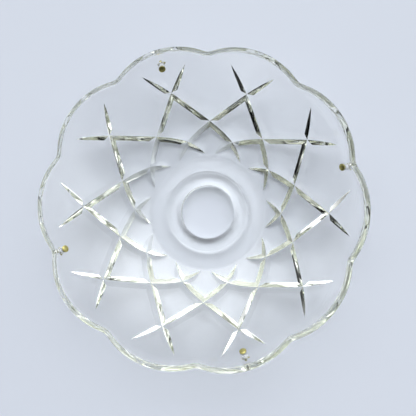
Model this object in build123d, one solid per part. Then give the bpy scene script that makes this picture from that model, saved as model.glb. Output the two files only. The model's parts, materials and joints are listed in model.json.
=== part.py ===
from build123d import *
import os
from math import asin, atan2, cos, degrees, radians, sin, sqrt, tan

# A round, scalloped dish of cut glass with a collared hole in its middle and four brass pins
# through its wall. Millimetres, +Z up, origin on the dish's axis in the plane of its foot.

# --- Driving dimensions of the dish ---
DISH_R = 150.0  # axis to the tip of a lobe, outer surface
LOBES = 10
FOOT_R = 55.0  # the flat ring that the dish stands on
WALL_ARC_R = 179.5  # the outer wall is one arc in section
FOOT_SLOPE = 15.0  # degrees, where the wall leaves the foot
WALL = 8.0  # glass thickness, square to the wall
FLOOR = 8.0  # glass thickness of the floor
LOBE_R = 66.0  # scallop radius, measured square to the wall
CORE_R = 125.0  # inside this radius the scallops take nothing away
TRIM_MARGIN = 8.0  # how far the plain bowl runs past the lobes before it is trimmed

# --- Collar around the centre hole ---
CENTRE_BORE_R = 25.0
COLLAR_R = 38.0
COLLAR_RISE = 3.0  # above the floor
COLLAR_ROUND = 2.0
BORE_CHAMFER = 0.8

# --- Mitre cuts: each is a V groove that crosses its mirror image and its neighbours ---
# Radius, and angle from the middle line of its lobe: tip, three crossings, tip.
CUT_COURSE = [(136.7, -9.2), (116.8, 0.0), (87.6, 18.0), (71.1, 36.0), (56.0, 49.5)]
CUT_DEPTH = 3.5
CUT_HALF_ANGLE = 57.0  # degrees, half of the V
CUT_SECTIONS = 13
CUT_FULLNESS = 6  # the higher, the sooner a groove reaches its full depth from its tips
CUT_RISE = 0.9  # how far the cutter stands out of the glass
TIP_LIFT = 0.25  # how far the point of the V has left the glass at the groove's ends

# --- Pin fittings, measured along the pin's axis from the inner surface, outwards positive ---
# Angle, and the radius where the pin's axis leaves the outer surface: two pins stand in the middle
# of a lobe, and two below a notch, where the rim is lower.
PIN_SITES = {"back": (90.0, 139.5), "left": (180.0, 137.4), "front": (270.0, 139.5), "right": (0.0, 137.4)}
GLASS_HOLE_R = 2.2
BUSH_R = 2.1
BUSH_BORE_R = 1.36
FLANGE_R = 3.0
FLANGE_T = 1.0
WASHER_T = 0.9
WASHER_FIT = 0.02  # the washer is pushed on to the bush
SEAT_GAP = 0.06  # under a flat face on the curved wall
SHANK_R = 1.3
END_PLAY = 0.15
NECK_R = 2.2
NECK_L = 1.0
HEAD_R = 3.2
HEAD_BAND = 0.8
HEAD_DOME = 0.7
EYE_R = 2.4
EYE_T = 2.0
EYE_HOLE_R = 0.95
EYE_ROOT = 0.8  # how far the round shank runs into the flattened eye

# --- Ring in the pin's eye ---
RING_R = 3.5  # to the middle of its wire
RING_WIRE_R = 0.5

# --- Worked out from the above ---
ARC_X = FOOT_R - WALL_ARC_R * sin(radians(FOOT_SLOPE))
ARC_Z = WALL_ARC_R * cos(radians(FOOT_SLOPE))
INNER_ARC_R = WALL_ARC_R - WALL
COLLAR_TOP = FLOOR + COLLAR_RISE
LOBE_PITCH = 360.0 / LOBES
FIRST_LOBE = 90.0
FLANGE_BOTTOM = -SEAT_GAP - FLANGE_T
WASHER_BOTTOM = WALL + SEAT_GAP
WASHER_TOP = WASHER_BOTTOM + WASHER_T
NECK_TOP = FLANGE_BOTTOM - END_PLAY
HEAD_TOP = NECK_TOP - NECK_L
EYE_AT = WASHER_TOP + END_PLAY + EYE_R


def wall_height(radius):
    """Height of the outer surface at a radius from the axis."""
    return ARC_Z - sqrt(WALL_ARC_R**2 - (radius - ARC_X) ** 2)


def wall_slope(radius):
    """Slope of the wall at a radius, in radians."""
    return asin((radius - ARC_X) / WALL_ARC_R)


def around(radius, angle, height):
    """A point given by its radius, its angle in degrees and its height."""
    return Vector(radius * cos(radians(angle)), radius * sin(radians(angle)), height)


def wall_normal(radius, angle):
    """Outward normal of the outer surface, which points out and down."""
    slope = wall_slope(radius)
    return around(sin(slope), angle, -cos(slope))


# --- The dish ---
def dish_section():
    """Half section of the bowl before it is scalloped, in the XZ plane."""
    reach = degrees(wall_slope(DISH_R + TRIM_MARGIN))
    floor_half = sqrt(INNER_ARC_R**2 - (ARC_Z - FLOOR) ** 2)
    floor_slope = degrees(asin(floor_half / INNER_ARC_R))
    centre = (ARC_X, ARC_Z)
    outer = CenterArc(centre, WALL_ARC_R, FOOT_SLOPE - 90.0, reach - FOOT_SLOPE)
    inner = CenterArc(centre, INNER_ARC_R, floor_slope - 90.0, reach - floor_slope)
    middle = Polyline(
        outer @ 0,
        (CENTRE_BORE_R + BORE_CHAMFER, 0.0),
        (CENTRE_BORE_R, BORE_CHAMFER),
        (CENTRE_BORE_R, COLLAR_TOP),
        (COLLAR_R, COLLAR_TOP),
        (COLLAR_R, FLOOR),
        inner @ 0,
    )
    rim = Line(inner @ 1, outer @ 1)
    return Plane.XZ * make_face([outer, middle, inner, rim])


def plain_bowl():
    """The turned bowl with its collar's two top edges rounded."""
    bowl = revolve(dish_section(), Axis.Z)
    collar_edges = []
    for edge in bowl.edges().filter_by(GeomType.CIRCLE):
        if abs(edge.center().Z - COLLAR_TOP) < RING_WIRE_R:
            collar_edges.append(edge)
    return fillet(collar_edges, COLLAR_ROUND)


def scallop_tool():
    """What is kept of the bowl: a core, and a cylinder square to the wall at each lobe."""
    slope = wall_slope(DISH_R)
    middle_r = DISH_R - LOBE_R * cos(slope)
    middle_z = wall_height(DISH_R) - LOBE_R * sin(slope)
    tool = Cylinder(CORE_R, 2 * DISH_R)
    for lobe in range(LOBES):
        angle = FIRST_LOBE + lobe * LOBE_PITCH
        place = Plane(origin=around(middle_r, angle, middle_z), z_dir=wall_normal(DISH_R, angle))
        tool += place * Cylinder(LOBE_R, DISH_R / 2)
    return tool


def mitre_cutter(lobe_angle, hand):
    """One mitre cutter: a triangle lofted along the groove's course on the outer surface."""
    knots = []
    for radius, angle in CUT_COURSE:
        knots.append(around(radius, lobe_angle + hand * angle, wall_height(radius)))
    course = Spline(knots)
    sections = []
    for index in range(CUT_SECTIONS):
        share = index / (CUT_SECTIONS - 1)
        near = course @ share
        radius = sqrt(near.X**2 + near.Y**2)
        spot = Vector(near.X, near.Y, wall_height(radius))
        out = wall_normal(radius, degrees(atan2(near.Y, near.X)))
        ahead = course % share
        across = out.cross(ahead).normalized()
        fade = (2 * share - 1) ** CUT_FULLNESS
        depth = CUT_DEPTH * (1 - fade) - TIP_LIFT * fade
        half = (depth + CUT_RISE) * tan(radians(CUT_HALF_ANGLE))
        outline = Polyline((0, -depth), (half, CUT_RISE), (-half, CUT_RISE), close=True)
        plane = Plane(origin=spot, x_dir=across, z_dir=across.cross(out))
        sections.append(plane * make_face(outline))
    return loft(sections)


def pin_plane(site):
    """Plane of one pin: origin on the inner surface, +Z out along the pin, +X level."""
    angle, mouth_r = PIN_SITES[site]
    out = wall_normal(mouth_r, angle)
    mouth = around(mouth_r, angle, wall_height(mouth_r))
    level = around(1.0, angle + 90.0, 0.0)
    return Plane(origin=mouth - out * WALL, x_dir=level, z_dir=out)


def dish():
    """The scalloped, cut and drilled dish."""
    glass = plain_bowl() & scallop_tool()
    for lobe in range(LOBES):
        for hand in (1, -1):
            glass -= mitre_cutter(FIRST_LOBE + lobe * LOBE_PITCH, hand)
    for site in PIN_SITES:
        glass -= pin_plane(site) * Cylinder(GLASS_HOLE_R, 4 * WALL)
    return glass


# --- Pin fittings, each made upright on the pin's own axis ---
def standing(radius, bottom, top):
    """A cylinder on the Z axis between two heights."""
    return Pos(0, 0, (bottom + top) / 2) * Cylinder(radius, top - bottom)


def bush():
    """Clear nylon bush: a flange inside the dish and a sleeve through the glass."""
    body = standing(FLANGE_R, FLANGE_BOTTOM, -SEAT_GAP) + standing(BUSH_R, -SEAT_GAP, WASHER_TOP)
    return body - standing(BUSH_BORE_R, FLANGE_BOTTOM, WASHER_TOP)


def washer():
    """Nylon washer on the sleeve's outer end."""
    return standing(FLANGE_R, WASHER_BOTTOM, WASHER_TOP) - standing(
        BUSH_R + WASHER_FIT, WASHER_BOTTOM, WASHER_TOP
    )


def pin():
    """Brass pin: low domed head, short neck, shank through the bush, flattened eye outside."""
    dome_r = (HEAD_R**2 + HEAD_DOME**2) / (2 * HEAD_DOME)
    dome_foot = HEAD_TOP - HEAD_BAND
    dome = Pos(0, 0, dome_foot - HEAD_DOME + dome_r) * Sphere(dome_r)
    head = dome & standing(HEAD_R, dome_foot - HEAD_DOME, dome_foot)
    body = head + standing(HEAD_R, dome_foot, HEAD_TOP)
    body += standing(NECK_R, HEAD_TOP, NECK_TOP)
    body += standing(SHANK_R, NECK_TOP, EYE_AT - EYE_R + EYE_ROOT)
    place = Pos(0, 0, EYE_AT) * Rot(0, 90, 0)
    body += place * Cylinder(EYE_R, EYE_T)
    return body - place * Cylinder(EYE_HOLE_R, 2 * EYE_T)


def ring(site):
    """Brass wire ring, hanging straight down from the eye of the pin at this site."""
    eye = pin_plane(site).from_local_coords(Vector(0, 0, EYE_AT))
    middle = eye - Vector(0, 0, RING_R)
    outwards = around(1.0, PIN_SITES[site][0], 0.0)
    return Plane(origin=middle, z_dir=outwards) * Torus(RING_R, RING_WIRE_R)


os.makedirs("parts", exist_ok=True)
export_step(dish(), "parts/dish.step")
for pin_site in PIN_SITES:
    export_step(pin_plane(pin_site) * bush(), f"parts/pin_bush_{pin_site}.step")
    export_step(pin_plane(pin_site) * washer(), f"parts/pin_washer_{pin_site}.step")
    export_step(pin_plane(pin_site) * pin(), f"parts/rim_pin_{pin_site}.step")
    export_step(ring(pin_site), f"parts/pin_ring_{pin_site}.step")
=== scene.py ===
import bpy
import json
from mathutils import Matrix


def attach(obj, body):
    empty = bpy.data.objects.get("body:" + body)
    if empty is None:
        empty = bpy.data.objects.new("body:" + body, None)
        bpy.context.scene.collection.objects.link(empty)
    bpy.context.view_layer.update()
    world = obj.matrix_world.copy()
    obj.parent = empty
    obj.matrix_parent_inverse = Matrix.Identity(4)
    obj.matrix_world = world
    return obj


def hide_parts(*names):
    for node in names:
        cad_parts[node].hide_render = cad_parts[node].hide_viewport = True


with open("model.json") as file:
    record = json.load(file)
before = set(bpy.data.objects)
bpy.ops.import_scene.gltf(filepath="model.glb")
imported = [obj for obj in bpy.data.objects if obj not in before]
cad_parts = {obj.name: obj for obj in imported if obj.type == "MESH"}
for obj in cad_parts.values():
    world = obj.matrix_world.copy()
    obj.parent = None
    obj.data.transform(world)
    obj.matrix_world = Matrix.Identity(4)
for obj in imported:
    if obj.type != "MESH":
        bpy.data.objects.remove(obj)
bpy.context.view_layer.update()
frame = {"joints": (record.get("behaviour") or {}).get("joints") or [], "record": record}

import json
from math import acos, asin, cos, pi, radians, sin, tan

import bmesh
import bpy
from mathutils import Matrix, Vector

# --- Dish -------------------------------------------------------------------------------------
# One piece of clear pressed glass with ten lobes. It is turned to a bowl of one wall thickness,
# its rim is ground to the lobes and polished round, and its pattern is cut with a mitre wheel
# into the underside: twenty V grooves, ten each way, that cross on the lobes' middle lines.

LOBES = 10
LOBE_PITCH = 2 * pi / LOBES
FIRST_LOBE = pi / 2
DISH_R = 0.150
FOOT_R = 0.055
WALL_ARC_R = 0.1795
FOOT_SLOPE = radians(15)
WALL = 0.008
FLOOR = 0.008
LOBE_R = 0.066
LOBE_REACH = 0.142
CUSP_EASE = radians(1.5)
ARC_X = FOOT_R - WALL_ARC_R * sin(FOOT_SLOPE)
ARC_Z = WALL_ARC_R * cos(FOOT_SLOPE)
RIM_SLOPE = asin((DISH_R - ARC_X) / WALL_ARC_R)
MOUNTS = {mount["name"]: mount for mount in frame["record"]["mounts"]}
BORE_R = MOUNTS["centre_bore"]["dims"]["r_mm"] / 1000
COLLAR_R = 0.038
COLLAR_TOP = MOUNTS["collar_top"]["pos_m"][2]
RIM_ROUND = 0.0021
COLLAR_ROUND = 0.002
COLLAR_FOOT_ROUND = 0.0016
FOOT_ROUND = 0.0009
DROP_START = radians(24)  # below this slope of the wall, nothing follows the lobes
COLUMNS = 360
WALL_ROWS = 44
INNER_ROWS = 42
FLOOR_ROWS = 8
FOOT_ROWS = 10
BORE_ROWS = 5
RIM_STEPS = 8
WELD = 0.00002


def wall_point(slope, depth):
    """Radius and height of the wall at a slope, this deep under its outer surface."""
    reach = WALL_ARC_R - depth
    return ARC_X + reach * sin(slope), ARC_Z - reach * cos(slope)


def corner(middle, radius, start, end, steps):
    """Points of a rounded corner of the section, from one angle to another in degrees."""
    turn = [radians(start + (end - start) * k / steps) for k in range(steps + 1)]
    return [(middle[0] + radius * cos(a), middle[1] + radius * sin(a)) for a in turn]


def dish_section():
    """The half section's points as (radius, height, share of the lobes' drop), going round once."""
    floor_slope = acos((ARC_Z - FLOOR) / (WALL_ARC_R - WALL))
    points = []

    def share(slope):
        """How much of the lobes' drop the wall takes at a slope: all at the rim, none low down."""
        t = max(0.0, (slope - DROP_START) / (RIM_SLOPE - DROP_START))
        return min(1.0, t) ** 2

    # outer wall, from the foot up
    rim_turn = RIM_ROUND / WALL_ARC_R
    top = RIM_SLOPE - rim_turn
    for k in range(1, WALL_ROWS + 1):
        slope = FOOT_SLOPE + (top - FOOT_SLOPE) * k / WALL_ROWS
        points.append((*wall_point(slope, 0), share(slope)))
    # the rim: a half round at each edge and a flat between them, square to the wall
    up = Vector((cos(RIM_SLOPE), sin(RIM_SLOPE)))
    inward = Vector((-sin(RIM_SLOPE), cos(RIM_SLOPE)))
    crest = Vector(wall_point(RIM_SLOPE, 0)) - up * RIM_ROUND
    for k in range(1, RIM_STEPS):
        a = radians(90 * k / RIM_STEPS)
        spot = crest + up * RIM_ROUND * sin(a) + inward * RIM_ROUND * (1 - cos(a))
        points.append((spot.x, spot.y, 1.0))
    for k in range(RIM_STEPS):
        a = radians(90 * k / RIM_STEPS)
        spot = crest + up * RIM_ROUND * cos(a) + inward * (WALL - RIM_ROUND * (1 - sin(a)))
        points.append((spot.x, spot.y, 1.0))
    # inner wall, down to the floor
    for k in range(1, INNER_ROWS + 1):
        slope = top + (floor_slope - top) * k / INNER_ROWS
        points.append((*wall_point(slope, WALL), share(slope)))
    # floor, collar and centre hole
    floor_edge = points[-1][0]
    floor_stop = COLLAR_R + COLLAR_FOOT_ROUND
    shoulder = COLLAR_TOP - COLLAR_ROUND
    for k in range(1, FLOOR_ROWS):
        points.append((floor_edge + (floor_stop - floor_edge) * k / FLOOR_ROWS, FLOOR, 0.0))
    plain = corner((floor_stop, FLOOR + COLLAR_FOOT_ROUND), COLLAR_FOOT_ROUND, -90, -155, 5)
    plain += corner((COLLAR_R - COLLAR_ROUND, shoulder), COLLAR_ROUND, 15, 90, 7)
    plain += corner((BORE_R + COLLAR_ROUND, shoulder), COLLAR_ROUND, 90, 180, 8)
    for k in range(1, BORE_ROWS):
        plain.append((BORE_R, shoulder * (1 - k / BORE_ROWS)))
    plain += corner((BORE_R + FOOT_ROUND, FOOT_ROUND), FOOT_ROUND, 180, 270, 5)
    # foot
    foot_start = BORE_R + FOOT_ROUND
    for k in range(1, FOOT_ROWS + 1):
        plain.append((foot_start + (FOOT_R - foot_start) * k / FOOT_ROWS, 0.0))
    points += [(r, z, 0.0) for r, z in plain]
    return points + points[:1]


class Tree:
    """A short way to write a Geometry Nodes tree."""

    def __init__(self, name, inputs):
        self.tree = bpy.data.node_groups.new(name, "GeometryNodeTree")
        face = self.tree.interface
        self.sockets = {}
        for label, kind, value in inputs:
            socket = face.new_socket(label, in_out="INPUT", socket_type=kind)
            if value is not None:
                socket.default_value = value
            self.sockets[label] = socket.identifier
        face.new_socket("Geometry", in_out="OUTPUT", socket_type="NodeSocketGeometry")
        self.given = self.tree.nodes.new("NodeGroupInput").outputs
        self.result = self.tree.nodes.new("NodeGroupOutput").inputs

    def node(self, kind, inputs=None, **settings):
        """A node with its settings, and with its inputs given by name or by number."""
        made = self.tree.nodes.new(kind)
        for key, value in settings.items():
            setattr(made, key, value)
        for key, value in (inputs or {}).items():
            socket = made.inputs[key]
            if isinstance(value, bpy.types.NodeSocket):
                self.tree.links.new(value, socket)
            else:
                socket.default_value = value
        return made

    def math(self, operation, *values):
        """A Math node's result."""
        return self.node("ShaderNodeMath", dict(enumerate(values)), operation=operation).outputs[0]

    def finish(self, geometry):
        """Links the tree's result."""
        self.tree.links.new(geometry, self.result["Geometry"])


def bowl_tree():
    """Turns the section about the axis, then lets every row follow the lobes of the rim."""
    t = Tree(
        "turned_and_lobed_bowl",
        [
            ("Geometry", "NodeSocketGeometry", None),
            ("Columns", "NodeSocketInt", COLUMNS),
            ("Lobe pitch", "NodeSocketFloat", LOBE_PITCH),
            ("Lobe radius", "NodeSocketFloat", LOBE_R),
            ("Cusp ease", "NodeSocketFloat", CUSP_EASE),
            ("Lobe reach", "NodeSocketFloat", LOBE_REACH),
            ("Wall radius", "NodeSocketFloat", WALL_ARC_R),
            ("Wall centre r", "NodeSocketFloat", ARC_X),
            ("Wall centre z", "NodeSocketFloat", ARC_Z),
            ("Rim slope", "NodeSocketFloat", RIM_SLOPE),
        ],
    )
    given = t.given
    size = t.node("GeometryNodeAttributeDomainSize", {"Geometry": given["Geometry"]})
    rows = size.outputs["Point Count"]
    last_row = t.math("SUBTRACT", rows, 1.0)
    columns = t.math("ADD", given["Columns"], 1.0)
    grid = t.node(
        "GeometryNodeMeshGrid",
        {"Size X": 1.0, "Size Y": 1.0, "Vertices X": columns, "Vertices Y": rows},
    )
    position = t.node("GeometryNodeInputPosition").outputs[0]
    here = t.node("ShaderNodeSeparateXYZ", {0: position})
    row = t.math("ROUND", t.math("MULTIPLY", t.math("ADD", here.outputs[1], 0.5), last_row))
    angle = t.math("MULTIPLY", t.math("ADD", here.outputs[0], 0.5), 2 * pi)
    spot = t.node(
        "GeometryNodeSampleIndex",
        {"Geometry": given["Geometry"], "Value": position, "Index": row},
        data_type="FLOAT_VECTOR",
    )
    kept_share = t.node("GeometryNodeInputNamedAttribute", {"Name": "share"}).outputs[0]
    share = t.node(
        "GeometryNodeSampleIndex",
        {"Geometry": given["Geometry"], "Value": kept_share, "Index": row},
    )
    section = t.node("ShaderNodeSeparateXYZ", {0: spot.outputs[0]})
    # how far the rim lies below a lobe's tip, measured along the wall, at this angle
    half = t.math("MULTIPLY", given["Lobe pitch"], 0.5)
    from_first = t.math("SUBTRACT", angle, FIRST_LOBE)
    wrapped = t.math("WRAP", from_first, half, t.math("MULTIPLY", half, -1.0))
    to_cusp = t.math("SUBTRACT", half, t.math("ABSOLUTE", wrapped))
    eased = t.math("ADD", t.math("POWER", to_cusp, 2.0), t.math("POWER", given["Cusp ease"], 2.0))
    off = t.math("SUBTRACT", half, t.math("SQRT", eased))
    across = t.math("MULTIPLY", given["Lobe reach"], t.math("SINE", off))
    lobe_square = t.math("POWER", given["Lobe radius"], 2.0)
    squares = t.math("SUBTRACT", lobe_square, t.math("POWER", across, 2.0))
    scallop = t.math("SUBTRACT", given["Lobe radius"], t.math("SQRT", squares))
    roundness = t.math("SUBTRACT", 1.0, t.math("COSINE", off))
    back = t.math("MULTIPLY", roundness, t.math("COSINE", given["Rim slope"]))
    drop = t.math("SUBTRACT", scallop, t.math("MULTIPLY", given["Lobe reach"], back))
    turn = t.math("MULTIPLY", t.math("DIVIDE", drop, given["Wall radius"]), share.outputs[0])
    # slide the point down the wall's arc by that turn, then put it round the axis
    dr = t.math("SUBTRACT", section.outputs[0], given["Wall centre r"])
    dz = t.math("SUBTRACT", section.outputs[2], given["Wall centre z"])
    c, s = t.math("COSINE", turn), t.math("SINE", turn)
    new_r = t.math("ADD", t.math("MULTIPLY", dr, c), t.math("MULTIPLY", dz, s))
    new_z = t.math("SUBTRACT", t.math("MULTIPLY", dz, c), t.math("MULTIPLY", dr, s))
    radius = t.math("ADD", new_r, given["Wall centre r"])
    place = t.node(
        "ShaderNodeCombineXYZ",
        {
            0: t.math("MULTIPLY", radius, t.math("COSINE", angle)),
            1: t.math("MULTIPLY", radius, t.math("SINE", angle)),
            2: t.math("ADD", new_z, given["Wall centre z"]),
        },
    )
    moved = t.node(
        "GeometryNodeSetPosition",
        {"Geometry": grid.outputs["Mesh"], "Position": place.outputs[0]},
    )
    closed = t.node("GeometryNodeMergeByDistance", {"Geometry": moved.outputs[0], "Distance": WELD})
    smooth = t.node("GeometryNodeSetShadeSmooth", {"Geometry": closed.outputs[0], "Shade Smooth": True})
    t.finish(smooth.outputs[0])
    return t


# The wheel's course on the underside: radius, and angle from its lobe's middle line, at the
# outer tip, the three crossings and the inner tip.
CUT_COURSE = [(0.1367, -9.2), (0.1168, 0.0), (0.0876, 18.0), (0.0711, 36.0), (0.0560, 49.5)]
CUT_DEPTH = 0.0035
CUT_HALF_ANGLE = radians(57)
CUT_FULLNESS = 6
CUT_STEPS = 48
CUT_RISE = 0.0009  # how far the cutter stands out of the glass
TIP_LIFT = 0.00025  # how far the point of the V has left the glass at the groove's ends
CRISP = radians(30)  # a cutter's edges sharper than this stay sharp


def cut_course(share):
    """A point of the course on the outer surface, by the smooth curve through the five knots."""
    knots = []
    for r, a in CUT_COURSE:
        angle = FIRST_LOBE + radians(a)
        knots.append(Vector((r * cos(angle), r * sin(angle), 0)))
    marks = [0.0]
    for before, after in zip(knots, knots[1:]):
        marks.append(marks[-1] + (after - before).length)
    at = share * marks[-1]
    spot = Vector()
    for i, knot in enumerate(knots):
        weight = 1.0
        for j, mark in enumerate(marks):
            if j != i:
                weight *= (at - mark) / (marks[i] - mark)
        spot += knot * weight
    slope = asin((spot.length - ARC_X) / WALL_ARC_R)
    spot.z = ARC_Z - WALL_ARC_R * cos(slope)
    out = Vector((spot.x, spot.y, 0)).normalized() * sin(slope) - Vector((0, 0, cos(slope)))
    return spot, out


def wheel_mesh():
    """The space that the mitre wheel clears along one groove: a V that dips in and out."""
    mesh = bpy.data.meshes.new("mitre_wheel_path")
    bm = bmesh.new()
    rings = []
    for k in range(CUT_STEPS + 1):
        share = k / CUT_STEPS
        spot, out = cut_course(share)
        ahead = (cut_course(share + 0.001)[0] - cut_course(share - 0.001)[0]).normalized()
        across = out.cross(ahead).normalized()
        fade = (2 * share - 1) ** CUT_FULLNESS
        depth = CUT_DEPTH * (1 - fade) - TIP_LIFT * fade
        half = (depth + CUT_RISE) * tan(CUT_HALF_ANGLE)
        top = spot + out * CUT_RISE
        outline = (spot - out * depth, top + across * half, top - across * half)
        rings.append([bm.verts.new(point) for point in outline])
    for a, b in zip(rings, rings[1:]):
        for i in range(3):
            j = (i + 1) % 3
            bm.faces.new((a[i], a[j], b[j], b[i]))
    bm.faces.new(rings[0][::-1])
    bm.faces.new(rings[-1])
    bmesh.ops.recalc_face_normals(bm, faces=bm.faces)
    for face in bm.faces:
        face.smooth = True
    for edge in bm.edges:
        edge.smooth = edge.calc_face_angle() < CRISP
    bm.to_mesh(mesh)
    bm.free()
    return mesh


PIN_JOINTS = {
    joint["name"].removeprefix("pin_spin_"): joint
    for joint in frame["joints"]
    if joint["name"].startswith("pin_spin_")
}
GLASS_HOLE_R = 0.0022
HOLE_SIDES = 40


def drill_mesh():
    """What the four drills clear, on the pins' axes."""
    mesh = bpy.data.meshes.new("drill_path")
    bm = bmesh.new()
    for joint in PIN_JOINTS.values():
        turn = Vector(joint["axis"]).to_track_quat("Z", "Y").to_matrix().to_4x4()
        place = Matrix.Translation(Vector(joint["pos_m"])) @ turn
        bmesh.ops.create_cone(
            bm, cap_ends=True, segments=HOLE_SIDES, radius1=GLASS_HOLE_R, radius2=GLASS_HOLE_R,
            depth=4 * WALL, matrix=place,
        )
    for face in bm.faces:
        face.smooth = True
    for edge in bm.edges:
        edge.smooth = edge.calc_face_angle() < CRISP
    bm.to_mesh(mesh)
    bm.free()
    return mesh


def cutting_tree():
    """Repeats the groove round the lobes in both hands, and cuts grooves and holes in the bowl."""
    t = Tree(
        "mitre_cutting",
        [
            ("Geometry", "NodeSocketGeometry", None),
            ("Bowl", "NodeSocketObject", None),
            ("Wheel path", "NodeSocketObject", None),
            ("Drill path", "NodeSocketObject", None),
            ("Lobes", "NodeSocketInt", LOBES),
            ("Glass", "NodeSocketMaterial", None),
        ],
    )
    given = t.given

    def normals(mesh, turned):
        """The mesh with its own smooth normals kept on its corners, turned over for a cutter."""
        normal = t.node("GeometryNodeInputNormal").outputs[0]
        side = -1.0 if turned else 1.0
        value = t.node("ShaderNodeVectorMath", {0: normal, 3: side}, operation="SCALE")
        kept = t.node(
            "GeometryNodeStoreNamedAttribute",
            {"Geometry": mesh, "Name": "polish", "Value": value.outputs[0]},
            data_type="FLOAT_VECTOR",
            domain="CORNER",
        )
        return kept.outputs[0]

    def brought(label):
        """The mesh of the object that an input names."""
        return t.node("GeometryNodeObjectInfo", {"Object": given[label]}).outputs["Geometry"]

    hub = t.node("GeometryNodeMeshLine", {"Count": given["Lobes"], "Offset": (0.0, 0.0, 0.0)})
    turn = t.math("MULTIPLY", t.node("GeometryNodeInputIndex").outputs[0],
                  t.math("DIVIDE", 2 * pi, given["Lobes"]))
    spin = t.node("ShaderNodeCombineXYZ", {2: turn})
    grooves = t.node(
        "GeometryNodeInstanceOnPoints",
        {"Points": hub.outputs[0], "Instance": brought("Wheel path"), "Rotation": spin.outputs[0]},
    )
    one_hand = t.node("GeometryNodeRealizeInstances", {0: grooves.outputs[0]}).outputs[0]
    mirrored = t.node("GeometryNodeTransform", {"Geometry": one_hand, "Scale": (-1.0, 1.0, 1.0)})
    other_hand = t.node("GeometryNodeFlipFaces", {0: mirrored.outputs[0]}).outputs[0]
    glass = normals(brought("Bowl"), False)
    for cutter in (one_hand, other_hand, brought("Drill path")):
        cut = t.node("GeometryNodeMeshBoolean", operation="DIFFERENCE", solver="MANIFOLD")
        t.tree.links.new(glass, cut.inputs["Mesh 1"])
        t.tree.links.new(normals(cutter, True), cut.inputs["Mesh 2"])
        glass = cut.outputs["Mesh"]
    done = t.node("GeometryNodeSetMaterial", {"Geometry": glass, "Material": given["Glass"]})
    t.finish(done.outputs[0])
    return t


def made_by(tree, mesh, name, **values):
    """The plain mesh that a tree makes of a mesh, with the named inputs set by their identifiers."""
    carrier = bpy.data.objects.new(name, mesh)
    bpy.context.scene.collection.objects.link(carrier)
    modifier = carrier.modifiers.new(name, "NODES")
    modifier.node_group = tree.tree
    for label, value in values.items():
        modifier[tree.sockets[label.replace("_", " ")]] = value
    shape = bpy.context.evaluated_depsgraph_get()
    result = bpy.data.meshes.new_from_object(carrier.evaluated_get(shape))
    result.name = name
    bpy.data.objects.remove(carrier)
    return result


def helper(name, mesh):
    """An object that only a tree reads."""
    made = bpy.data.objects.new(name, mesh)
    bpy.context.scene.collection.objects.link(made)
    return made


class Finish(Tree):
    """The same for a material: its shader, and patterns on the object's own coordinates."""

    def __init__(self, name, **constants):
        self.material = bpy.data.materials.new(name)
        self.material.use_nodes = True
        self.tree = self.material.node_tree
        self.shader = self.tree.nodes["Principled BSDF"]
        self.output = self.tree.nodes["Material Output"]
        for key, value in constants.items():
            self.shader.inputs[key.replace("_", " ")].default_value = value
        self.place = self.node("ShaderNodeTexCoord").outputs["Object"]

    def noise(self, scale, detail=3.0, place=None, **settings):
        """A noise pattern of so many features to the metre, from 0 to 1."""
        sockets = {"Vector": place or self.place, "Scale": scale, "Detail": detail}
        return self.node("ShaderNodeTexNoise", sockets, **settings).outputs[0]

    def span(self, value, low, high, to_low, to_high, curve="LINEAR"):
        """The value mapped from one range to another, held at the ends."""
        sockets = {0: value, 1: low, 2: high, 3: to_low, 4: to_high}
        return self.node("ShaderNodeMapRange", sockets, interpolation_type=curve).outputs[0]

    def blend(self, share, first, second):
        """Two colours mixed by a share from 0 to 1."""
        return self.node("ShaderNodeMix", {0: share, 6: first, 7: second}, data_type="RGBA").outputs[2]

    def bump(self, height, strength, depth):
        """Surface relief of this depth in metres."""
        made = self.node("ShaderNodeBump", {"Strength": strength, "Distance": depth, "Height": height})
        self.tree.links.new(made.outputs[0], self.shader.inputs["Normal"])

    def link(self, value, socket):
        """Links a pattern to one of the shader's sockets."""
        self.tree.links.new(value, self.shader.inputs[socket])


GLASS_IOR = 1.54
GLASS_TINT = (0.82, 0.84, 0.72, 1.0)
GLASS_DENSITY = 8.0
WIPED_ROUGHNESS = 0.012
GROUND_ROUGHNESS = 0.22
GROUND_EDGE = 0.003
RIPPLES = 30.0
RIPPLE_STRENGTH = 0.05
RIPPLE_DEPTH = 0.00012


def crystal():
    """Clear, faintly olive glass: polished and wiped by hand, with its foot ground to a soft matt."""
    f = Finish("clear_crystal", Base_Color=(1.0, 1.0, 1.0, 1.0), Transmission_Weight=1.0, IOR=GLASS_IOR)
    apart = f.node("ShaderNodeSeparateXYZ", {0: f.place})
    squares = [f.math("POWER", apart.outputs[axis], 2.0) for axis in (0, 1)]
    radius = f.math("SQRT", f.math("ADD", *squares))
    low = f.span(apart.outputs[2], 0.00005, 0.0003, 1.0, 0.0)
    inside = f.span(radius, FOOT_R - GROUND_EDGE, FOOT_R, 1.0, 0.0, "SMOOTHSTEP")
    wipe = f.span(f.noise(38.0, 4.0), 0.35, 0.75, 0.0, 1.0)
    polished = f.math("MULTIPLY", wipe, WIPED_ROUGHNESS)
    ground = f.math("MULTIPLY", f.math("MULTIPLY", low, inside), GROUND_ROUGHNESS)
    f.link(f.math("MAXIMUM", polished, ground), "Roughness")
    f.bump(f.noise(RIPPLES, 1.0), RIPPLE_STRENGTH, RIPPLE_DEPTH)
    volume = f.node("ShaderNodeVolumeAbsorption", {"Color": GLASS_TINT, "Density": GLASS_DENSITY})
    f.tree.links.new(volume.outputs[0], f.output.inputs["Volume"])
    return f.material


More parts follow.
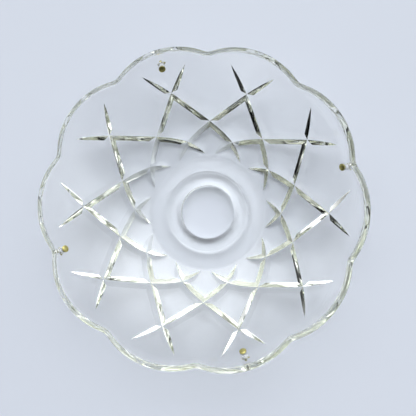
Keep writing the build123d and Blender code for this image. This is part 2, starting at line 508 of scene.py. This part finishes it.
section = bpy.data.meshes.new("dish_section")
rows = dish_section()
section.from_pydata([(r, 0.0, z) for r, z, _ in rows], [], [])
shares = section.attributes.new("share", "FLOAT", "POINT")
shares.data.foreach_set("value", [share for _, _, share in rows])
helpers = {
    "Bowl": helper("uncut_bowl", made_by(bowl_tree(), section, "uncut_bowl")),
    "Wheel_path": helper("wheel_path", wheel_mesh()),
    "Drill_path": helper("drill_path", drill_mesh()),
}
glass = crystal()
blank = bpy.data.meshes.new("blank")
cut_glass = made_by(cutting_tree(), blank, "crystal_dish", Glass=glass, **helpers)
for tool in helpers.values():
    bpy.data.objects.remove(tool)
polish = cut_glass.attributes["polish"].data
cut_glass.normals_split_custom_set([Vector(c.vector).normalized() for c in polish])
cut_glass.attributes.remove(cut_glass.attributes["polish"])
cut_glass.materials.clear()
cut_glass.materials.append(glass)
dish = bpy.data.objects.new("crystal_dish", cut_glass)
bpy.context.scene.collection.objects.link(dish)
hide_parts("dish")
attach(dish, "dish")

# --- Bushes -----------------------------------------------------------------------------------
# Four clear nylon bushes line the holes in the glass, so that brass never touches it. Each is
# moulded in one piece, with a flange that sits inside the dish and a sleeve out to the washer.

SEAT_GAP = 0.00006
FLANGE_T = 0.0010
FLANGE_R = 0.0030
BUSH_R = 0.0021
BUSH_BORE_R = 0.00136
WASHER_T = 0.0009
MOULD_ROUND = 0.00028
STRAIGHT = 0.01  # a smaller turn of the outline is no corner
MOST_OF_SIDE = 0.49  # a rounding takes no more of a side than this
ON_AXIS = 1e-7
HARD_EDGE = radians(40)  # sharper edges stay sharp
WASHER_TOP = WALL + SEAT_GAP + WASHER_T
FLANGE_BOTTOM = -SEAT_GAP - FLANGE_T


def rounded(outline, radius, steps=5):
    """A closed (radius, height) outline, its corners rounded; a corner may give its own radius."""
    points = []
    for i, (r, z, *own) in enumerate(outline):
        here = Vector((r, z))
        size = own[0] if own else radius
        back = Vector(outline[i - 1][:2]) - here
        on = Vector(outline[(i + 1) % len(outline)][:2]) - here
        turn = pi - back.angle(on)
        if size == 0 or turn < STRAIGHT:
            points.append(here)
            continue
        reach = min(size * tan(turn / 2), MOST_OF_SIDE * back.length, MOST_OF_SIDE * on.length)
        size = reach / tan(turn / 2)
        hollow = back.normalized() + on.normalized()
        middle = here + hollow.normalized() * size / cos(turn / 2)
        first = here + back.normalized() * reach - middle
        last = here + on.normalized() * reach - middle
        for k in range(steps + 1):
            share = k / steps
            spoke = first * sin((1 - share) * turn) + last * sin(share * turn)
            points.append(middle + spoke / sin(turn))
    return points


def lathe(outline, around=64):
    """A bmesh turned about Z from a closed outline; points on the axis become one pole."""
    bm = bmesh.new()
    rings = []
    for r, z in outline:
        if r < ON_AXIS:
            rings.append([bm.verts.new((0, 0, z))])
        else:
            turns = [2 * pi * k / around for k in range(around)]
            rings.append([bm.verts.new((r * cos(a), r * sin(a), z)) for a in turns])
    for i, ring in enumerate(rings):
        other = rings[(i + 1) % len(rings)]
        if len(ring) == 1 and len(other) == 1:
            continue
        for k in range(around):
            j = (k + 1) % around
            if len(ring) == 1:
                bm.faces.new((ring[0], other[j], other[k]))
            elif len(other) == 1:
                bm.faces.new((ring[k], ring[j], other[0]))
            else:
                bm.faces.new((ring[k], ring[j], other[j], other[k]))
    bmesh.ops.recalc_face_normals(bm, faces=bm.faces)
    return bm


def pin_place(site):
    """From the pin's own axis, measured outwards from the inner surface, to the dish."""
    joint = PIN_JOINTS[site]
    out = Vector(joint["axis"])
    level = Vector((0, 0, 1)).cross(out).normalized()
    turn = Matrix((level, out.cross(level), out)).transposed()
    return Matrix.Translation(Vector(joint["pos_m"])) @ turn.to_4x4()


def piece(name, bm, material, node, body, place=None):
    """The finished piece: placed, smooth but for its sharp edges, and tied to its body."""
    if place is not None:
        bm.transform(place)
    for face in bm.faces:
        face.smooth = True
    for edge in bm.edges:
        edge.smooth = edge.is_manifold and edge.calc_face_angle() < HARD_EDGE
    mesh = bpy.data.meshes.new(name)
    bm.to_mesh(mesh)
    bm.free()
    mesh.materials.append(material)
    made = bpy.data.objects.new(name, mesh)
    bpy.context.scene.collection.objects.link(made)
    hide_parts(node)
    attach(made, body)
    return made


def nylon():
    """Milky clear nylon, a little cloudy, with the soft sheen of a moulded surface."""
    f = Finish(
        "clear_nylon", Transmission_Weight=0.55, IOR=1.53, Specular_IOR_Level=0.5,
        Subsurface_Weight=0.25, Subsurface_Radius=(0.9, 0.9, 0.8), Subsurface_Scale=0.0015,
    )
    cloud = f.span(f.noise(900.0, 4.0), 0.3, 0.7, 0.0, 1.0)
    f.link(f.blend(cloud, (0.80, 0.81, 0.78, 1.0), (0.90, 0.91, 0.89, 1.0)), "Base Color")
    f.link(f.span(cloud, 0.0, 1.0, 0.22, 0.36), "Roughness")
    f.bump(f.noise(2500.0, 3.0), 0.3, 0.00002)
    return f.material


moulded = nylon()
for site in PIN_JOINTS:
    bush = lathe(rounded(
        [
            (BUSH_BORE_R, FLANGE_BOTTOM), (FLANGE_R, FLANGE_BOTTOM), (FLANGE_R, -SEAT_GAP),
            (BUSH_R, -SEAT_GAP, 0.0), (BUSH_R, WASHER_TOP), (BUSH_BORE_R, WASHER_TOP),
        ],
        MOULD_ROUND,
    ))
    piece(
        f"nylon_bush_{site}", bush, moulded, f"pin_bush_{site}", "dish",
        pin_place(site),
    )

# --- Washers ----------------------------------------------------------------------------------
# Four washers of the same nylon, moulded with eased edges. Each is pushed over the end of its
# bush, against the underside of the glass, and keeps the bush in its hole.

WASHER_FIT = 0.00002
WASHER_BORE_R = BUSH_R + WASHER_FIT

for site in PIN_JOINTS:
    washer = lathe(rounded(
        [
            (WASHER_BORE_R, WASHER_TOP - WASHER_T), (FLANGE_R, WASHER_TOP - WASHER_T),
            (FLANGE_R, WASHER_TOP), (WASHER_BORE_R, WASHER_TOP),
        ],
        MOULD_ROUND,
    ))
    piece(
        f"nylon_washer_{site}", washer, moulded, f"pin_washer_{site}", "dish",
        pin_place(site),
    )

# --- Pins -------------------------------------------------------------------------------------
# Four turned brass pins. A low domed head stands off the glass on a short neck, a thinner shank runs
# through the bush, and its end is pressed flat and drilled to an eye that also holds the pin in.

END_PLAY = 0.00015
NECK_R = 0.0022
NECK_L = 0.0010
HEAD_R = 0.0032
HEAD_BAND = 0.0008
HEAD_DOME = 0.0007
SHANK_R = 0.0013
EYE_R = 0.0024
EYE_T = 0.0020
EYE_HOLE_R = 0.00095
EYE_ROOT = 0.0008
TURNED_ROUND = 0.0002
NECK_ROUND = 0.00035
EYE_ROUND = 0.0003
DOME_STEPS = 9
RING_JOINTS = {
    joint["name"].removeprefix("ring_swing_"): joint
    for joint in frame["joints"]
    if joint["name"].startswith("ring_swing_")
}


def brass():
    """Olive-toned old brass: bright where it is touched, dull in patches, finely scratched."""
    f = Finish("aged_brass", Metallic=1.0)
    patch = f.span(f.noise(420.0, 5.0), 0.38, 0.68, 0.0, 1.0)
    fine = f.span(f.noise(3000.0, 3.0), 0.3, 0.7, 0.0, 1.0)
    worn = f.blend(patch, (0.50, 0.45, 0.16, 1.0), (0.26, 0.23, 0.08, 1.0))
    f.link(f.blend(f.math("MULTIPLY", fine, 0.35), worn, (0.66, 0.60, 0.28, 1.0)), "Base Color")
    dull = f.span(patch, 0.0, 1.0, 0.28, 0.46)
    f.link(f.math("ADD", dull, f.math("MULTIPLY", fine, 0.08)), "Roughness")
    stretched = f.node("ShaderNodeMapping", {0: f.place, 3: (1.0, 1.0, 14.0)}).outputs[0]
    f.bump(f.noise(1400.0, 2.0, stretched), 0.35, 0.00002)
    return f.material


def pin_blank(eye_at):
    """The turned pin, from its head to just inside its eye, as one closed mesh."""
    shank_end = eye_at - EYE_R + EYE_ROOT
    neck_top = FLANGE_BOTTOM - END_PLAY
    head_top = neck_top - NECK_L
    dome_foot = head_top - HEAD_BAND
    dome_r = (HEAD_R ** 2 + HEAD_DOME ** 2) / (2 * HEAD_DOME)
    dome_middle = dome_foot - HEAD_DOME + dome_r
    spread = asin(HEAD_R / dome_r)
    outline = [(0.0, dome_foot - HEAD_DOME, 0.0)]
    for k in range(1, DOME_STEPS):
        a = spread * k / DOME_STEPS
        outline.append((dome_r * sin(a), dome_middle - dome_r * cos(a), 0.0))
    outline += [
        (HEAD_R, dome_foot), (HEAD_R, head_top), (NECK_R, head_top, NECK_ROUND),
        (NECK_R, neck_top), (SHANK_R, neck_top, 0.0), (SHANK_R, shank_end, 0.0),
        (0.0, shank_end, 0.0),
    ]
    return lathe(rounded(outline, TURNED_ROUND))


def pin_eye(eye_at):
    """The flattened eye: a drilled disc with its edges eased, standing across the shank."""
    half = EYE_T / 2
    outline = [(EYE_HOLE_R, -half), (EYE_R, -half), (EYE_R, half), (EYE_HOLE_R, half)]
    bm = lathe(rounded(outline, EYE_ROUND))
    bm.transform(Matrix.Translation((0, 0, eye_at)) @ Matrix.Rotation(pi / 2, 4, "Y"))
    return bm


def joined(first, second):
    """Two closed shapes made one."""
    objects = []
    for bm in (first, second):
        mesh = bpy.data.meshes.new("part")
        bm.to_mesh(mesh)
        bm.free()
        objects.append(helper("part", mesh))
    union = objects[0].modifiers.new("join", "BOOLEAN")
    union.operation = "UNION"
    union.solver = "EXACT"
    union.object = objects[1]
    result = bmesh.new()
    result.from_object(objects[0], bpy.context.evaluated_depsgraph_get())
    for part in objects:
        bpy.data.objects.remove(part)
    return result


polished_brass = brass()
for site in PIN_JOINTS:
    reach = (Vector(RING_JOINTS[site]["pos_m"]) - Vector(PIN_JOINTS[site]["pos_m"])).length
    piece(
        f"brass_pin_{site}", joined(pin_blank(reach), pin_eye(reach)), polished_brass,
        f"rim_pin_{site}", f"pin_{site}", pin_place(site),
    )

# --- Rings ------------------------------------------------------------------------------------
# A brass wire ring hangs in each eye. It is wound from round wire and its two ends are closed up
# to a fine slit.

RING_R = 0.0035
RING_WIRE_R = 0.0005
RING_SLIT = radians(3.0)
SLIT_AT = radians(20)  # below level, at the ring's side
CUT_END = 0.82  # the wire's cut ends are this much thinner
RING_STEPS = 88
WIRE_SIDES = 20


def ring_wire(site):
    """The bent wire, hanging straight down from its eye, with its slit at the side."""
    eye = Vector(RING_JOINTS[site]["pos_m"])
    level = Vector(RING_JOINTS[site]["axis"])
    out = level.cross(Vector((0, 0, 1))).normalized()
    middle = eye - Vector((0, 0, RING_R))
    bm = bmesh.new()
    rings = []
    for k in range(RING_STEPS + 1):
        a = SLIT_AT + RING_SLIT / 2 + (2 * pi - RING_SLIT) * k / RING_STEPS
        spoke = level * cos(a) - Vector((0, 0, 1)) * sin(a)
        wire = RING_WIRE_R * (CUT_END if k in (0, RING_STEPS) else 1.0)
        rings.append([
            bm.verts.new(middle + spoke * RING_R + (spoke * cos(b) + out * sin(b)) * wire)
            for b in (2 * pi * i / WIRE_SIDES for i in range(WIRE_SIDES))
        ])
    for a, b in zip(rings, rings[1:]):
        for i in range(WIRE_SIDES):
            j = (i + 1) % WIRE_SIDES
            bm.faces.new((a[i], a[j], b[j], b[i]))
    bm.faces.new(rings[0])
    bm.faces.new(rings[-1])
    bmesh.ops.recalc_face_normals(bm, faces=bm.faces)
    return bm


for site in RING_JOINTS:
    piece(
        f"brass_ring_{site}", ring_wire(site), polished_brass, f"pin_ring_{site}", f"ring_{site}",
    )

# --- Floor, light and camera ------------------------------------------------------------------
# A plain pale table in a pale room: a broad soft window above one side, dark furniture low on the
# other, and the shade of the camera straight above. Light in cut glass is mirrored many times
# before it comes out, so the bounces are many and nothing blurs them.

FLOOR_HALF = 3.0
FLOOR_GAP = 0.0002
FLOOR_COLOUR = (0.66, 0.69, 0.76, 1.0)
FLOOR_COLOUR_2 = (0.68, 0.71, 0.78, 1.0)
ROOM_LIGHT = 1.14
WINDOW_LIGHT = 2.6
LOW_LIGHT = 0.55  # near the floor, as a share of the light above
SKY_COLOUR = (0.94, 0.97, 1.0, 1.0)
CAMERA_AWAY = 0.900
CAMERA_TILT = radians(7.0)
CAMERA_SIDE = radians(-49.7)
VIEW_UP = radians(74)
LENS = 87.3
SENSOR = 36.0
AIM = Vector((0.0055, -0.0015, 0.060))
LIGHT_BOUNCES = 32

bm = bmesh.new()
below = Matrix.Translation((0, 0, -FLOOR_GAP))
bmesh.ops.create_grid(bm, x_segments=2, y_segments=2, size=FLOOR_HALF, matrix=below)
floor_mesh = bpy.data.meshes.new("table_top")
bm.to_mesh(floor_mesh)
bm.free()
table = Finish("pale_table", Roughness=0.6, Specular_IOR_Level=0.3)
shade = table.span(table.noise(2.5, 2.0), 0.3, 0.7, 0.0, 1.0)
table.link(table.blend(shade, FLOOR_COLOUR, FLOOR_COLOUR_2), "Base Color")
floor_mesh.materials.append(table.material)
floor = bpy.data.objects.new("table_top", floor_mesh)
bpy.context.scene.collection.objects.link(floor)


def toward(turned, rise):
    """A direction, by its turn from the view's upper side and its rise, both in degrees."""
    around, rise = VIEW_UP + radians(turned), radians(rise)
    return Vector((cos(around) * cos(rise), sin(around) * cos(rise), sin(rise)))


class Room(Tree):
    """The light from each direction, as a sum of soft steps about a few directions."""

    def __init__(self):
        world = bpy.data.worlds.new("room")
        world.use_nodes = True
        bpy.context.scene.world = world
        self.tree = world.node_tree
        self.way = self.node("ShaderNodeTexCoord").outputs["Generated"]

    def lobe(self, middle, inner, outer, amount):
        """This much within one angle of a direction, fading to none at another, in degrees."""
        near = self.node("ShaderNodeVectorMath", {0: self.way, 1: middle}, operation="DOT_PRODUCT")
        inner, outer = cos(radians(inner)), cos(radians(outer))
        sockets = {0: near.outputs["Value"], 1: outer, 2: inner, 3: 0.0, 4: amount}
        return self.node("ShaderNodeMapRange", sockets, interpolation_type="SMOOTHSTEP").outputs[0]


ABOVE = Vector((0, 0, 1))
room = Room()
window = room.lobe(toward(-8, 48), 0, 50, WINDOW_LIGHT)
light = room.math("ADD", ROOM_LIGHT, window)
furniture = room.math(
    "MAXIMUM", room.lobe(toward(112, 30), 28, 50, 1.0), room.lobe(toward(200, 36), 30, 52, 1.0)
)
sill = room.lobe(toward(0, 0), 10, 60, 0.5)
camera_shade = room.lobe(ABOVE, 4, 24, 0.6)
dark = room.math("MAXIMUM", room.math("MAXIMUM", furniture, sill), camera_shade)
shaded = room.math("MULTIPLY", light, room.math("SUBTRACT", 1.0, dark))
high = room.lobe(ABOVE, 60, 90, 1.0 - LOW_LIGHT)
shaded = room.math("MULTIPLY", shaded, room.math("ADD", high, LOW_LIGHT))
back = room.tree.nodes["Background"]
back.inputs[0].default_value = SKY_COLOUR
room.tree.links.new(shaded, back.inputs[1])

camera_data = bpy.data.cameras.new("camera")
camera_data.lens = LENS
camera_data.sensor_width = SENSOR
camera = bpy.data.objects.new("camera", camera_data)
aside = Vector((cos(CAMERA_SIDE), sin(CAMERA_SIDE), 0.0))
camera.location = AIM + (aside * sin(CAMERA_TILT) + ABOVE * cos(CAMERA_TILT)) * CAMERA_AWAY
look = (AIM - camera.location).normalized()
right = look.cross(Vector((cos(VIEW_UP), sin(VIEW_UP), 0.0))).normalized()
camera.rotation_euler = Matrix((right, right.cross(look), -look)).transposed().to_euler()
bpy.context.scene.collection.objects.link(camera)
bpy.context.scene.camera = camera
bpy.context.scene.view_settings.view_transform = "Standard"
light_paths = bpy.context.scene.cycles
light_paths.max_bounces = LIGHT_BOUNCES
light_paths.transmission_bounces = LIGHT_BOUNCES
light_paths.glossy_bounces = LIGHT_BOUNCES
light_paths.blur_glossy = 0.0
